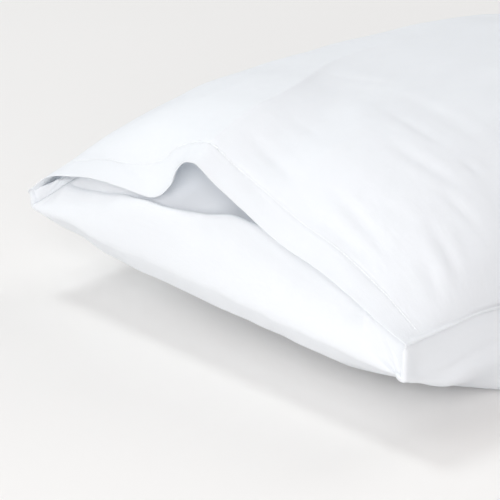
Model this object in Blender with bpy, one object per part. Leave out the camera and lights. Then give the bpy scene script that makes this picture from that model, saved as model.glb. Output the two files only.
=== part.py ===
"""A pillowcase lying filled out on a surface, in metres, with +Z up.

Two cotton panels meet in a seam along both sides and the closed end.  The top panel
ends at the mouth in a free hem, lifted in one wave that runs back as a ridge.  The
bottom panel folds in at the mouth and runs back under the top panel as a flap, so that
it holds whatever is inside.  The case is hollow.

Each panel is one sheet on a grid.  The functions below give its inner face, and the
sheet is thickened outwards.  "back" is the distance behind the mouth, "across" is the
distance to the right of the middle, and the origin lies on the surface, halfway along.
"""

from collections import namedtuple
from math import pi, sin

import bmesh
import bpy
import numpy as np

# Driving sizes.
LENGTH = 0.745              # mouth to the closed end's seam, filled out
MOUTH_HALF = 0.230          # half the width between the mouth's two corners
SIDE_DRAWN_IN = 0.014       # how far each side curves in at mid-length
END_DRAWN_IN = 0.014        # how far the closed end curves in between its corners
SHEET = 0.002               # thickness of one panel
SEAM_GAP = 0.0003           # clearance between the two panels in the seam
SEAM_WIDTH = 0.004          # level strip of each panel in the seam
SEAM_HEIGHT = 0.088         # height of the side seams at the mouth
SEAM_DIP = 0.014            # they dip by this much behind the mouth
SEAM_DROOP = 0.004          # and sink by this much more towards the closed end
CROWN = 0.100               # height of the filled-out top over the seam's height at the mouth

# Top panel.
HEM_SET_BACK = 0.014        # how far the hem's middle lies behind its ends
SET_BACK_FADES = 0.80       # share of the length from where that fades out to the closed end
HEM_SHARE = 0.40            # the crown's share that is left at the mouth
TOP_SQUARE = (2.8, 3.3)     # squareness of the crown's section at the mouth and behind it
TOP_STEEP = 0.56            # a lower power makes its sides steeper
CORNER_SOFTER = 0.2         # added to that power at the mouth's right corner
MOUTH_ROUND = 1.8           # power of the crown's rise behind the hem
CROWN_REACH = 0.14          # distance behind the hem where the crown is full
CROWN_LIFT = 0.010          # the crown rises by this much more up to mid-length
CROWN_DROOP = 0.028         # and sinks by this much towards the closed end
TOP_CLOSES = 0.5            # share of the length where the top starts down to the closed end
TOP_END_ROUND = (2.2, 0.8)  # powers of that curve, inner and outer
HEM_REACH = 0.08            # distance behind the hem where its own line has faded
WAVE_REACH = 0.10           # distance behind the hem over which the ridge sinks in
WAVE_SINKS = 1.2            # power of that sinking
WAVE_SIDE = 3               # power with which the wave ends at the side seams
LEFT_SPREAD = 4.2           # how much wider the ridge's left side is once it has spread
RIGHT_SPREAD = 1.5          # and its right side

# Bottom panel and flap.
FOLD_ROLL = 0.010           # the cloth curls under within this distance of the fold
CURL_SHARE = 0.14           # share of the belly's descent that the curl makes
BELLY_REACH = 0.150         # the belly comes down to the surface within this distance
BELLY_SLANT = 0.020         # sooner by this much at the right side, later at the left
BELLY_ROUND = 1.5           # power of that descent
STRAIGHT_FROM = 0.5         # share of the right half from where it becomes straight,
STRAIGHT_REACH = 0.017      # without the curl and this much longer
PRESSED_FLAT = 0.012        # how much the surface flattens the belly
SIDE_BULGE = 0.009          # the sides swell past the seam by this much
SURFACE_BEND = 0.012        # the belly bends onto the surface over this height
WALL_SQUARE = (10.0, 5.0)   # squareness of the steep side wall at the mouth and behind it
WALL_REACH = 0.12           # distance over which the one becomes the other
BOTTOM_CLOSES = 0.55        # share of the length where the bottom starts up to the closed end
BOTTOM_END_ROUND = (3.0, 0.7)   # powers of that curve, inner and outer
FLAP_LENGTH = 0.17          # from the fold to the flap's inner edge
FLAP_TURN = 0.040           # the flap rises to the top panel within this distance
FLAP_ROUND = 0.55           # a lower power turns the fold sooner
FLAP_UNDER = 0.0045         # distance from the top panel's inner face to the flap's
FLAP_SIDE = 0.014           # each side edge of the flap stays this far from the seam's edge
HOLLOW_DEPTH = 0.026        # dip of the flap under the ridge
HOLLOW_ACROSS = -0.005      # middle of that dip
HOLLOW_WIDTH = 0.055        # its width
HOLLOW_OPENS = (0.008, 0.045)   # it deepens between these distances behind the fold
HOLLOW_CLOSES = (0.075, 0.15)   # and ends between these

# Depth of the mouth's fold under the seam's ends, from the left corner to the right one.
FoldRow = namedtuple("FoldRow", "across depth")
FOLD_LINE = (
    FoldRow(across=-0.230, depth=0.0185),
    FoldRow(across=-0.214, depth=0.0160),
    FoldRow(across=-0.186, depth=0.0140),
    FoldRow(across=-0.165, depth=0.0165),
    FoldRow(across=-0.140, depth=0.0215),
    FoldRow(across=-0.085, depth=0.0215),
    FoldRow(across=-0.050, depth=0.0205),
    FoldRow(across=0.000, depth=0.0230),
    FoldRow(across=0.046, depth=0.0255),
    FoldRow(across=0.094, depth=0.0265),
    FoldRow(across=0.184, depth=0.0285),
    FoldRow(across=0.230, depth=0.0305),
)

# Squareness of the belly under the wall, on the left half and on the right one.
SquareRow = namedtuple("SquareRow", "back left right")
BELLY_SQUARE = (
    SquareRow(back=0.00, left=2.0, right=2.5),
    SquareRow(back=0.04, left=2.2, right=7.5),
    SquareRow(back=0.12, left=4.2, right=9.0),
    SquareRow(back=0.18, left=5.0, right=8.0),
    SquareRow(back=0.30, left=5.0, right=5.0),
    SquareRow(back=0.80, left=5.0, right=5.0),
)

# Grid sizes.
COLUMNS_TOP = 38
COLUMNS_BOTTOM = 34
ROWS_BACK = 26              # shared by both panels, so that their seams match
ROWS_FLAP = 9
SECTION_STEPS = 120         # fine steps of a section before it is shared out
SLOPE_STEP = 0.001          # step over which a slope is measured

# The hem's height over the seam, from the left corner to the right one, without the wave.
HemRow = namedtuple("HemRow", "across rise")
HEM_LINE = (
    HemRow(across=-0.230, rise=0.0000),
    HemRow(across=-0.205, rise=0.0170),
    HemRow(across=-0.174, rise=0.0246),
    HemRow(across=-0.149, rise=0.0286),
    HemRow(across=-0.118, rise=0.0296),
    HemRow(across=-0.082, rise=0.0292),
    HemRow(across=-0.050, rise=0.0304),
    HemRow(across=-0.020, rise=0.0330),
    HemRow(across=0.029, rise=0.0360),
    HemRow(across=0.078, rise=0.0326),
    HemRow(across=0.127, rise=0.0258),
    HemRow(across=0.175, rise=0.0131),
    HemRow(across=0.209, rise=0.0031),
    HemRow(across=0.224, rise=0.0011),
    HemRow(across=0.230, rise=0.0000),
)

# The wave's section at the hem, steep on its left and long on its right.
WaveRow = namedtuple("WaveRow", "from_ridge rise")
WAVE_SECTION = (
    WaveRow(from_ridge=-0.300, rise=0.0000),
    WaveRow(from_ridge=-0.058, rise=0.0000),
    WaveRow(from_ridge=-0.045, rise=0.0030),
    WaveRow(from_ridge=-0.037, rise=0.0076),
    WaveRow(from_ridge=-0.027, rise=0.0187),
    WaveRow(from_ridge=-0.022, rise=0.0298),
    WaveRow(from_ridge=-0.012, rise=0.0400),
    WaveRow(from_ridge=-0.004, rise=0.0418),
    WaveRow(from_ridge=0.003, rise=0.0408),
    WaveRow(from_ridge=0.024, rise=0.0287),
    WaveRow(from_ridge=0.055, rise=0.0154),
    WaveRow(from_ridge=0.104, rise=0.0018),
    WaveRow(from_ridge=0.150, rise=0.0000),
    WaveRow(from_ridge=0.400, rise=0.0000),
)

# The ridge's line over the top panel.
RidgeRow = namedtuple("RidgeRow", "back across")
RIDGE_LINE = (
    RidgeRow(back=0.000, across=-0.026),
    RidgeRow(back=0.050, across=-0.023),
    RidgeRow(back=0.110, across=-0.027),
    RidgeRow(back=0.210, across=-0.062),
    RidgeRow(back=0.800, across=-0.100),
)


def ease(low, high, value):
    """0 below low, 1 above high, and a smooth step between them."""
    t = min(max((value - low) / (high - low), 0.0), 1.0)
    return t * t * (3 - 2 * t)


def between(ends, part):
    return ends[0] + (ends[1] - ends[0]) * part


def closing(back, start, powers):
    """1 up to a share of the length, from where it curves down to 0 at the closed end."""
    past = max(back / LENGTH - start, 0.0) / (1 - start)
    return max(1 - past ** powers[0], 0.0) ** powers[1]


def along_table(rows, at, column=1):
    """A column of a table at a value of its first column, along a smooth curve."""
    places = [row[0] for row in rows]
    values = [row[column] for row in rows]
    last = len(rows) - 1
    k = min(max(int(np.searchsorted(places, at)) - 1, 0), last - 1)

    def slope(i):
        before, after = max(i - 1, 0), min(i + 1, last)
        return (values[after] - values[before]) / (places[after] - places[before])

    span = places[k + 1] - places[k]
    t = min(max((at - places[k]) / span, 0.0), 1.0)
    start = (1 + 2 * t) * (1 - t) ** 2 * values[k] + t * (1 - t) ** 2 * span * slope(k)
    end = t * t * (3 - 2 * t) * values[k + 1] - t * t * (1 - t) * span * slope(k + 1)
    return start + end


def shares(count, crowded):
    """count + 1 places from 0 to 1, closer together near each (place, width, strength)."""
    fine = np.linspace(0.0, 1.0, 2001)
    density = np.ones_like(fine)
    for place, width, strength in crowded:
        density += strength * np.exp(-((fine - place) / width) ** 2)
    total = np.concatenate(([0.0], np.cumsum((density[1:] + density[:-1]) / 2)))
    return np.interp(np.linspace(0.0, total[-1], count + 1), total, fine)


# ---- the seam, which both panels follow ----

def half_width(back):
    return MOUTH_HALF - SIDE_DRAWN_IN * sin(pi * min(max(back / LENGTH, 0.0), 1.0))


def seam_height(back):
    """The side seams dip behind the mouth and droop at the closed end."""
    part = back / LENGTH
    dip = SEAM_DIP * ease(0.10, 0.26, part)
    return SEAM_HEIGHT - dip - SEAM_DROOP * ease(0.40, 1.0, part)


def seam_strip(back):
    """Width of the level strip in the seam, nothing at the mouth's corners."""
    return SEAM_WIDTH * ease(-0.002, 0.020, back)


def end_shift(across, back):
    """How far the closed end's middle is drawn in."""
    part = across / half_width(back)
    return END_DRAWN_IN * (1 - part * part) * ease(0.55, 1.0, back / LENGTH)


# ---- the top panel ----

def crown(back):
    """Greatest height of the filled-out top over the seam."""
    part = back / LENGTH
    lift = CROWN_LIFT * ease(0.08, 0.38, part) - CROWN_DROOP * ease(0.40, 1.0, part)
    return CROWN + lift + SEAM_HEIGHT - seam_height(back)


def body_rise(across, back):
    """Height of the plain filled-out top over the seam."""
    inner = half_width(back) - seam_strip(back)
    part = min(abs(across) / inner, 1.0)
    closed_end = closing(back, TOP_CLOSES, TOP_END_ROUND)
    towards_mouth = max(1 - back / CROWN_REACH, 0.0) ** MOUTH_ROUND
    lengthwise = HEM_SHARE + (1 - HEM_SHARE) * (1 - towards_mouth)
    to_corner = ease(-0.05, 0.15, across) * (1 - ease(0.0, CROWN_REACH, back))
    square = between(TOP_SQUARE, ease(0.10, 0.26, back / LENGTH))
    crosswise = (1 - part ** square) ** (TOP_STEEP + CORNER_SOFTER * to_corner)
    return crown(back) * closed_end * lengthwise * crosswise


def behind_hem(across, back):
    """Distance behind the hem's edge, whose middle lies behind its two ends.

    The difference fades out, so that the whole top comes down to the closed end's seam.
    """
    part = min(abs(across) / MOUTH_HALF, 1.0)
    fade = 1 - ease(SET_BACK_FADES, 1.0, back / LENGTH)
    return max(back - HEM_SET_BACK * (1 - part * part) * fade, 0.0)


def calm_top(across, back):
    """The top panel's inner face without the wave, as a height over the surface."""
    inner = half_width(back) - seam_strip(back)
    inside = max(min(across, inner), -inner)
    behind = behind_hem(inside, back)
    own_line = along_table(HEM_LINE, inside) - body_rise(inside, 0.0)
    rise = body_rise(inside, behind) + own_line * (1 - ease(0.0, HEM_REACH, behind))
    return seam_height(back) + SEAM_GAP / 2 + max(rise, 0.0)


def wave_rise(across, back):
    """What the wave and its ridge add to the top panel.

    Its steep left side widens quickly behind the hem into one flat slope.
    """
    behind = behind_hem(across, back)
    from_ridge = across - along_table(RIDGE_LINE, behind)
    if from_ridge < 0:
        from_ridge /= 1 + LEFT_SPREAD * ease(0.0, 0.06, behind)
    else:
        from_ridge /= 1 + RIGHT_SPREAD * ease(0.0, 0.2, behind)
    to_side = min(abs(across) / (half_width(back) - SEAM_WIDTH), 1.0)
    fade = np.exp(-((behind / WAVE_REACH) ** WAVE_SINKS)) * (1 - to_side ** WAVE_SIDE)
    return max(along_table(WAVE_SECTION, from_ridge), 0.0) * fade


def top_point(column, row):
    """A point of the top panel's inner face, from its shares across and back."""
    part = 2 * column - 1
    set_back = HEM_SET_BACK * (1 - part * part)
    back = set_back + (LENGTH - set_back) * row
    across = half_width(back) * part
    height = calm_top(across, back) + wave_rise(across, back)
    return across, back - end_shift(across, back) - LENGTH / 2, height


# ---- the bottom panel and its flap ----

def fold_depth(part):
    return along_table(FOLD_LINE, part * MOUTH_HALF)


def on_surface(height):
    """The inner face's height, kept one sheet above the surface with a soft bend."""
    over = height - SHEET
    if over < -SURFACE_BEND:
        return SHEET
    if over > SURFACE_BEND:
        return height
    return SHEET + (over + SURFACE_BEND) ** 2 / (4 * SURFACE_BEND)


def belly_part(part, back):
    """0 at the mouth's fold, 1 where the belly has come down, straighter on the right."""
    straight = ease(STRAIGHT_FROM, 1.0, part)
    curl_share = CURL_SHARE * (1 - straight)
    curl = (1 - max(1 - back / FOLD_ROLL, 0.0) ** 2) ** 0.5
    reach = BELLY_REACH - BELLY_SLANT * part + STRAIGHT_REACH * straight
    power = between((BELLY_ROUND, 1.0), straight)
    descent = 1 - max(1 - back / reach, 0.0) ** power
    return curl_share * curl + (1 - curl_share) * descent


def belly_section(side, back):
    """Half a section of the bottom panel, from the middle out to one seam.

    A steep wall runs down from the seam to the fold's depth, and the belly hangs
    below the wall in a rounder curve.
    """
    wall_power = between(WALL_SQUARE, ease(0.0, WALL_REACH, back))
    belly_power = along_table(BELLY_SQUARE, back, 1 if side < 0 else 2)
    closed_end = closing(back, BOTTOM_CLOSES, BOTTOM_END_ROUND)
    inner = half_width(back) - seam_strip(back)
    edge = seam_height(back) - SEAM_GAP / 2 - SHEET * (1 - ease(0.0, 0.008, back))
    points = []
    for step in range(SECTION_STEPS + 1):
        out = sin(pi / 2 * step / SECTION_STEPS) ** (2 / wall_power)
        wall = max(1 - out ** wall_power, 0.0) ** (1 / wall_power)
        belly = max(1 - out ** belly_power, 0.0) ** (1 / belly_power)
        shallow = fold_depth(side * out)
        down = belly_part(side * out, back)
        depth = shallow * wall + (SEAM_HEIGHT + PRESSED_FLAT - shallow) * down * belly
        swell = SIDE_BULGE * down * 4 * belly * (1 - belly)
        across = side * (inner * out + swell * closed_end)
        points.append((across, on_surface(edge - depth * closed_end)))
    points.append((side * half_width(back), edge))
    return points


def flap_section(side, back):
    """Half a section of the flap where it lies under the top panel."""
    reach = half_width(back) - FLAP_SIDE
    points = []
    for step in range(SECTION_STEPS + 1):
        across = side * reach * step / SECTION_STEPS
        dip = HOLLOW_DEPTH * np.exp(-(((across - HOLLOW_ACROSS) / HOLLOW_WIDTH) ** 2))
        dip *= ease(*HOLLOW_OPENS, back) * (1 - ease(*HOLLOW_CLOSES, back))
        over = calm_top(across, back)
        slope = (calm_top(across + SLOPE_STEP, back) - over) / SLOPE_STEP
        points.append((across, over - FLAP_UNDER * (1 + slope * slope) ** 0.5 - dip))
    return points


def share_out(points, share):
    """The point at a share of the way along a line of points."""
    line = np.array(points)
    steps = np.hypot(*np.diff(line, axis=0).T)
    way = np.concatenate(([0.0], np.cumsum(steps)))
    at = share * way[-1]
    return np.array([np.interp(at, way, line[:, 0]), np.interp(at, way, line[:, 1])])


def bottom_point(column, row, sections):
    """A point of the bottom panel, whose rows run from the closed end to the flap's edge."""
    side = 1 if column >= 0.5 else -1
    share = abs(2 * column - 1)
    back, on_flap = row
    if not on_flap:
        key = (side, back, False)
        if key not in sections:
            sections[key] = belly_section(side, back)
        across, height = share_out(sections[key], share)
        return across, back - end_shift(across, back) - LENGTH / 2, height
    for key, section in (((side, 0.0, False), belly_section), ((side, back, True), flap_section)):
        if key not in sections:
            sections[key] = section(side, key[1])
    fold = share_out(sections[(side, 0.0, False)], share)
    under_top = share_out(sections[(side, back, True)], share)
    risen = (1 - max(1 - back / FLAP_TURN, 0.0) ** 2) ** FLAP_ROUND
    across, height = fold + (under_top - fold) * risen
    return across, back - LENGTH / 2, height


# ---- building ----

def cotton(name):
    material = bpy.data.materials.new(name)
    material.use_nodes = True
    surface = material.node_tree.nodes["Principled BSDF"]
    surface.inputs["Base Color"].default_value = (0.90, 0.91, 0.92, 1.0)
    surface.inputs["Roughness"].default_value = 0.9
    surface.inputs["Metallic"].default_value = 0.0
    return material


def sheet(name, columns, rows, point_at):
    """A grid moved onto a panel's inner face and thickened outwards."""
    model = bmesh.new()
    bmesh.ops.create_grid(model, x_segments=columns, y_segments=rows, size=1.0)
    for vertex in model.verts:
        column = round((vertex.co.x + 1) / 2 * columns)
        row = round((vertex.co.y + 1) / 2 * rows)
        vertex.co = point_at(column, row)
    mesh = bpy.data.meshes.new(name)
    model.to_mesh(mesh)
    model.free()
    panel = bpy.data.objects.new(name, mesh)
    bpy.context.collection.objects.link(panel)
    mesh.shade_smooth()
    mesh.materials.append(cotton(name + "_cotton"))
    thick = panel.modifiers.new("thickness", "SOLIDIFY")
    thick.thickness = SHEET
    thick.offset = 1.0
    return panel


def top_panel():
    ridge_place = 0.5 + (RIDGE_LINE[0].across - 0.018) / (2 * MOUTH_HALF)
    crowded = ((0.0, 0.05, 3.0), (1.0, 0.05, 3.0), (ridge_place, 0.05, 2.5))
    columns = shares(COLUMNS_TOP, crowded)
    rows = back_shares()

    def point_at(column, row):
        return top_point(columns[column], rows[row])

    return sheet("top_panel", COLUMNS_TOP, ROWS_BACK, point_at)


def back_shares():
    return shares(ROWS_BACK, ((0.0, 0.03, 9.0), (0.08, 0.08, 1.5), (1.0, 0.05, 4.0)))


def bottom_panel():
    columns = shares(COLUMNS_BOTTOM, ((0.0, 0.07, 2.0), (1.0, 0.07, 2.0)))
    rows = [(LENGTH * share, False) for share in reversed(back_shares())]
    flap = shares(ROWS_FLAP, ((0.0, 0.06, 6.0),))
    rows += [(FLAP_LENGTH * share, True) for share in flap[1:]]
    sections = {}

    def point_at(column, row):
        return bottom_point(columns[column], rows[row], sections)

    return sheet("bottom_panel", COLUMNS_BOTTOM, len(rows) - 1, point_at)


for old in list(bpy.data.objects):
    bpy.data.objects.remove(old)
top_panel()
bottom_panel()
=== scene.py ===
from collections import namedtuple
from math import cos, radians, sin

import bmesh
import bpy
import numpy as np
from mathutils import Matrix


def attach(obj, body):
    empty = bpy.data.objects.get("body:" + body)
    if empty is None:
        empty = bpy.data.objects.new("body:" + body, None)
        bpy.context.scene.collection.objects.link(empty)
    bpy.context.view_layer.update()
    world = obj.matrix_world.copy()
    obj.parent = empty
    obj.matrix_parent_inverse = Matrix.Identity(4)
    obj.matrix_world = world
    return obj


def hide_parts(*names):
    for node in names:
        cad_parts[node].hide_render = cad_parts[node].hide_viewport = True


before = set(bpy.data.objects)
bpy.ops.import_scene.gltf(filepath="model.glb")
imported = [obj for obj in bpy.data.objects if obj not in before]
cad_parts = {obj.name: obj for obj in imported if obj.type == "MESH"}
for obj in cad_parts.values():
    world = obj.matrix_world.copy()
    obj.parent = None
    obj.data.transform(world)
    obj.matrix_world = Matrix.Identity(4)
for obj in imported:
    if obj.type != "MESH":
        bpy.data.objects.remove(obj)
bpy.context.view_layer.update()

# ---- camera, light and floor ----
# A long lens looks down at the mouth's right corner from its front. Two soft lamps on the case's
# left cast its shadow, four more fill in from the front, right and back, and the table is white.

CAMERA_PLACE = (1.5049, -1.6964, 0.8886)
CAMERA_DOWN = 21.52         # degrees below level
CAMERA_TURN = 47.58         # degrees round from the mouth's front
FOCAL_LENGTH = 190.2        # millimetres
SENSOR = 36.0               # millimetres
SEEN_TO = 50.0              # metres from the camera
LIGHT_BOUNCES = 14          # white cloth passes light on many times in its hollows
ROOM_COLOUR = (1.0, 0.98, 0.985, 1.0)
ROOM_LIGHT = 0.40

scene = bpy.context.scene
lens = bpy.data.cameras.new("camera")
lens.lens = FOCAL_LENGTH
lens.sensor_width = SENSOR
lens.clip_end = SEEN_TO
camera = bpy.data.objects.new("camera", lens)
camera.location = CAMERA_PLACE
camera.rotation_euler = (radians(90 - CAMERA_DOWN), 0.0, radians(CAMERA_TURN))
scene.collection.objects.link(camera)
scene.camera = camera
scene.view_settings.view_transform = "Standard"
scene.cycles.max_bounces = LIGHT_BOUNCES
scene.cycles.diffuse_bounces = LIGHT_BOUNCES

room = bpy.data.worlds.new("room")
room.use_nodes = True
scene.world = room
background = room.node_tree.nodes["Background"]
background.inputs["Color"].default_value = ROOM_COLOUR
background.inputs["Strength"].default_value = ROOM_LIGHT

LIT_PLACE = (0.0, -0.2, 0.1)    # where the lamps aim
COOL, PLAIN = (0.939, 0.980, 0.990), (1.0, 0.980, 0.985)
Lamp = namedtuple("Lamp", "name turn raised distance size power colour")
LAMPS = (
    Lamp("key", turn=0, raised=62, distance=5.0, size=1.5, power=57.0, colour=COOL),
    Lamp("low_key", turn=20, raised=19, distance=5.0, size=2.6, power=75.0, colour=COOL),
    Lamp("front_key", turn=75, raised=58, distance=2.8, size=0.9, power=4.5, colour=COOL),
    Lamp("camera_fill", turn=128, raised=22, distance=3.0, size=2.0, power=55.0, colour=PLAIN),
    Lamp("right_fill", turn=170, raised=35, distance=3.0, size=2.0, power=1.5, colour=PLAIN),
    Lamp("back_fill", turn=270, raised=40, distance=3.0, size=2.0, power=17.0, colour=PLAIN),
)


def soft_lamp(name, turn, raised, distance, size, power, colour):
    """A round lamp at degrees turned from the case's left round to its front, and degrees up."""
    turn, raised = radians(turn), radians(raised)
    way = (-cos(turn) * cos(raised), -sin(turn) * cos(raised), sin(raised))
    lamp = bpy.data.lights.new(name, "AREA")
    lamp.shape = "DISK"
    lamp.size = size
    lamp.energy = power
    lamp.color = colour
    holder = bpy.data.objects.new(name, lamp)
    holder.location = [middle + part * distance for middle, part in zip(LIT_PLACE, way)]
    holder.rotation_euler = (np.pi / 2 - raised, 0.0, turn - np.pi / 2)
    scene.collection.objects.link(holder)


for lamp in LAMPS:
    soft_lamp(*lamp)

FLOOR_HALF = 12.0
TABLE_TONES = (0.836, 0.826, 0.812, 1.0), (0.846, 0.836, 0.822, 1.0)

table = bmesh.new()
bmesh.ops.create_grid(table, x_segments=2, y_segments=2, size=FLOOR_HALF)
floor_mesh = bpy.data.meshes.new("floor")
table.to_mesh(floor_mesh)
table.free()
floor = bpy.data.objects.new("floor", floor_mesh)
scene.collection.objects.link(floor)

lacquer = bpy.data.materials.new("table_white")
lacquer.use_nodes = True
nodes, links = lacquer.node_tree.nodes, lacquer.node_tree.links
surface = nodes["Principled BSDF"]
surface.inputs["Roughness"].default_value = 0.85
surface.inputs["Specular IOR Level"].default_value = 0.2
place = nodes.new("ShaderNodeTexCoord")
mottle = nodes.new("ShaderNodeTexNoise")
mottle.inputs["Scale"].default_value = 3.0
tone = nodes.new("ShaderNodeMix")
tone.data_type = "RGBA"
tone.inputs["A"].default_value, tone.inputs["B"].default_value = TABLE_TONES
links.new(place.outputs["Object"], mottle.inputs["Vector"])
links.new(mottle.outputs["Fac"], tone.inputs["Factor"])
links.new(tone.outputs["Result"], surface.inputs["Base Color"])
floor_mesh.materials.append(lacquer)

# ---- top panel ----
# One piece of white cotton, 50 by 84 cm as cut. Its mouth edge is turned under and stitched
# down 20 mm from the fold, and the hem stands up in one wave that runs back as a ridge.

# The case's form. "across" is the distance to the right of its middle, "back" the distance behind
# its mouth, and a pair of shares of the length says where a change starts and where it ends.
LENGTH = 0.745              # mouth to the closed end's seam
MOUTH_HALF = 0.230          # half the width between the mouth's corners
SIDE_DRAWN_IN = 0.014       # how far each side curves in at mid-length
END_DRAWN_IN = 0.014        # how far the closed end curves in between its corners,
END_BENDS = (0.55, 1.0)     # between these shares of the length
SEAM_WIDTH = 0.0024         # the seam's flat edge
SEAM_STARTS = (-0.002, 0.020)   # it widens between these distances behind the mouth
SEAM_HEIGHT = 0.088         # height of the side seams at the mouth
SEAM_DIP = 0.014            # they dip by this much behind the mouth,
SEAM_DIPS = (0.10, 0.26)    # between these shares of the length
SEAM_DROOP = 0.004          # and sink by this much more towards the closed end
FAR_HALF = (0.40, 1.0)      # shares of the length between which things sink to the closed end
SEAM_GAP = 0.0003           # between the two cloths
CROWN = 0.100               # height of the filled-out top over the seam's height at the mouth
CROWN_LIFT = 0.010          # the crown rises by this much more,
CROWN_LIFTS = (0.08, 0.38)  # between these shares of the length
CROWN_DROOP = 0.028         # and sinks by this much towards the closed end
TOP_CLOSES = 0.5            # share of the length where the top starts down to the closed end
TOP_END_ROUND = (2.2, 0.8)  # powers of that curve, inner and outer
HEM_SET_BACK = 0.014        # how far the hem's middle lies behind its ends
SET_BACK_FADES = 0.80       # share of the length from where that fades out to the closed end
HEM_SHARE = 0.40            # the crown's share that is left at the mouth
TOP_SQUARE = (2.8, 3.3)     # squareness of the crown's section at the mouth and behind it
TOP_STEEP = 0.56            # a lower power makes its sides steeper
CORNER_SOFTER = 0.2         # added to that power at the mouth's right corner,
CORNER_SOFTENS = (-0.05, 0.15)  # between these distances across
MOUTH_ROUND = 1.8           # power of the crown's rise behind the hem
CROWN_REACH = 0.14          # distance behind the hem where the crown is full
HEM_REACH = 0.08            # distance behind the hem where its own line has faded
WAVE_REACH = 0.10           # distance behind the hem over which the ridge sinks in
WAVE_SINKS = 1.2            # power of that sinking
WAVE_SIDE = 3               # power with which the wave ends at the side seams
LEFT_SPREAD = 4.2           # how much wider the ridge's left side is once it has spread,
LEFT_SPREADS = 0.06         # this far behind the hem
RIGHT_SPREAD = 1.5          # and its right side,
RIGHT_SPREADS = 0.20        # this far behind
SKIN = 0.002                # from the case's inner form out to the cloth's face
SEAM_SKIN = 0.00085         # the same at the seams, where the two cloths meet
CLOTH = 0.0006              # the cloth's thickness

# The hem's height over the seam, from the left corner to the right one, without the wave.
HemRow = namedtuple("HemRow", "across rise")
HEM_LINE = (
    HemRow(across=-0.230, rise=0.0000),
    HemRow(across=-0.205, rise=0.0170),
    HemRow(across=-0.174, rise=0.0246),
    HemRow(across=-0.149, rise=0.0286),
    HemRow(across=-0.118, rise=0.0296),
    HemRow(across=-0.082, rise=0.0292),
    HemRow(across=-0.050, rise=0.0304),
    HemRow(across=-0.020, rise=0.0330),
    HemRow(across=0.029, rise=0.0360),
    HemRow(across=0.078, rise=0.0326),
    HemRow(across=0.127, rise=0.0258),
    HemRow(across=0.175, rise=0.0131),
    HemRow(across=0.209, rise=0.0031),
    HemRow(across=0.224, rise=0.0011),
    HemRow(across=0.230, rise=0.0000),
)

# The wave's section at the hem, steep on its left and long on its right.
WaveRow = namedtuple("WaveRow", "from_ridge rise")
WAVE_SECTION = (
    WaveRow(from_ridge=-0.300, rise=0.0000),
    WaveRow(from_ridge=-0.058, rise=0.0000),
    WaveRow(from_ridge=-0.045, rise=0.0030),
    WaveRow(from_ridge=-0.037, rise=0.0076),
    WaveRow(from_ridge=-0.027, rise=0.0187),
    WaveRow(from_ridge=-0.022, rise=0.0298),
    WaveRow(from_ridge=-0.012, rise=0.0400),
    WaveRow(from_ridge=-0.004, rise=0.0418),
    WaveRow(from_ridge=0.003, rise=0.0408),
    WaveRow(from_ridge=0.024, rise=0.0287),
    WaveRow(from_ridge=0.055, rise=0.0154),
    WaveRow(from_ridge=0.104, rise=0.0018),
    WaveRow(from_ridge=0.150, rise=0.0000),
    WaveRow(from_ridge=0.400, rise=0.0000),
)

# The ridge's line over the top.
RidgeRow = namedtuple("RidgeRow", "back across")
RIDGE_LINE = (
    RidgeRow(back=0.000, across=-0.026),
    RidgeRow(back=0.050, across=-0.023),
    RidgeRow(back=0.110, across=-0.027),
    RidgeRow(back=0.210, across=-0.062),
    RidgeRow(back=0.800, across=-0.100),
)


def ease(low, high, value):
    """0 below low, 1 above high, and a smooth step between them."""
    part = np.clip((value - low) / (high - low), 0.0, 1.0)
    return part * part * (3 - 2 * part)


def along_table(rows, at, column=1):
    """A column of a table at values of its first, along a smooth curve."""
    places, values = np.array([(row[0], row[column]) for row in rows], float).T
    last = len(places) - 1
    before = np.maximum(np.arange(last + 1) - 1, 0)
    after = np.minimum(np.arange(last + 1) + 1, last)
    slopes = (values[after] - values[before]) / (places[after] - places[before])
    k = np.clip(np.searchsorted(places, at) - 1, 0, last - 1)
    span = places[k + 1] - places[k]
    t = np.clip((at - places[k]) / span, 0.0, 1.0)
    start = (1 + 2 * t) * (1 - t) ** 2 * values[k] + t * (1 - t) ** 2 * span * slopes[k]
    end = t * t * (3 - 2 * t) * values[k + 1] - t * t * (1 - t) * span * slopes[k + 1]
    return start + end


def shares(count, crowded):
    """count + 1 places from 0 to 1, closer together near each (place, width, strength)."""
    fine = np.linspace(0.0, 1.0, 4001)
    density = np.ones_like(fine)
    for place, width, strength in crowded:
        density += strength * np.exp(-((fine - place) / width) ** 2)
    total = np.concatenate(([0.0], np.cumsum((density[1:] + density[:-1]) / 2)))
    return np.interp(np.linspace(0.0, total[-1], count + 1), total, fine)


def half_width(back):
    """Half the width between the side seams' outer edges."""
    return MOUTH_HALF - SIDE_DRAWN_IN * np.sin(np.pi * np.clip(back / LENGTH, 0.0, 1.0))


def seam_height(back):
    """The side seams dip behind the mouth and droop at the closed end."""
    part = back / LENGTH
    return SEAM_HEIGHT - SEAM_DIP * ease(*SEAM_DIPS, part) - SEAM_DROOP * ease(*FAR_HALF, part)


def seam_strip(back):
    """Width of the seam's flat edge, nothing at the mouth's corners."""
    return SEAM_WIDTH * ease(*SEAM_STARTS, back)


def end_shift(across, back):
    """How far the closed end's middle is drawn in."""
    part = across / half_width(back)
    return END_DRAWN_IN * (1 - part * part) * ease(*END_BENDS, back / LENGTH)


def closing(back, start, powers):
    """1 up to a share of the length, from where it curves down to 0 at the closed end."""
    past = np.maximum(back / LENGTH - start, 0.0) / (1 - start)
    return np.maximum(1 - past ** powers[0], 0.0) ** powers[1]


def crown(back):
    """Greatest height of the filled-out top over the seam."""
    part = back / LENGTH
    lift = CROWN_LIFT * ease(*CROWN_LIFTS, part) - CROWN_DROOP * ease(*FAR_HALF, part)
    return CROWN + lift + SEAM_HEIGHT - seam_height(back)


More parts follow.
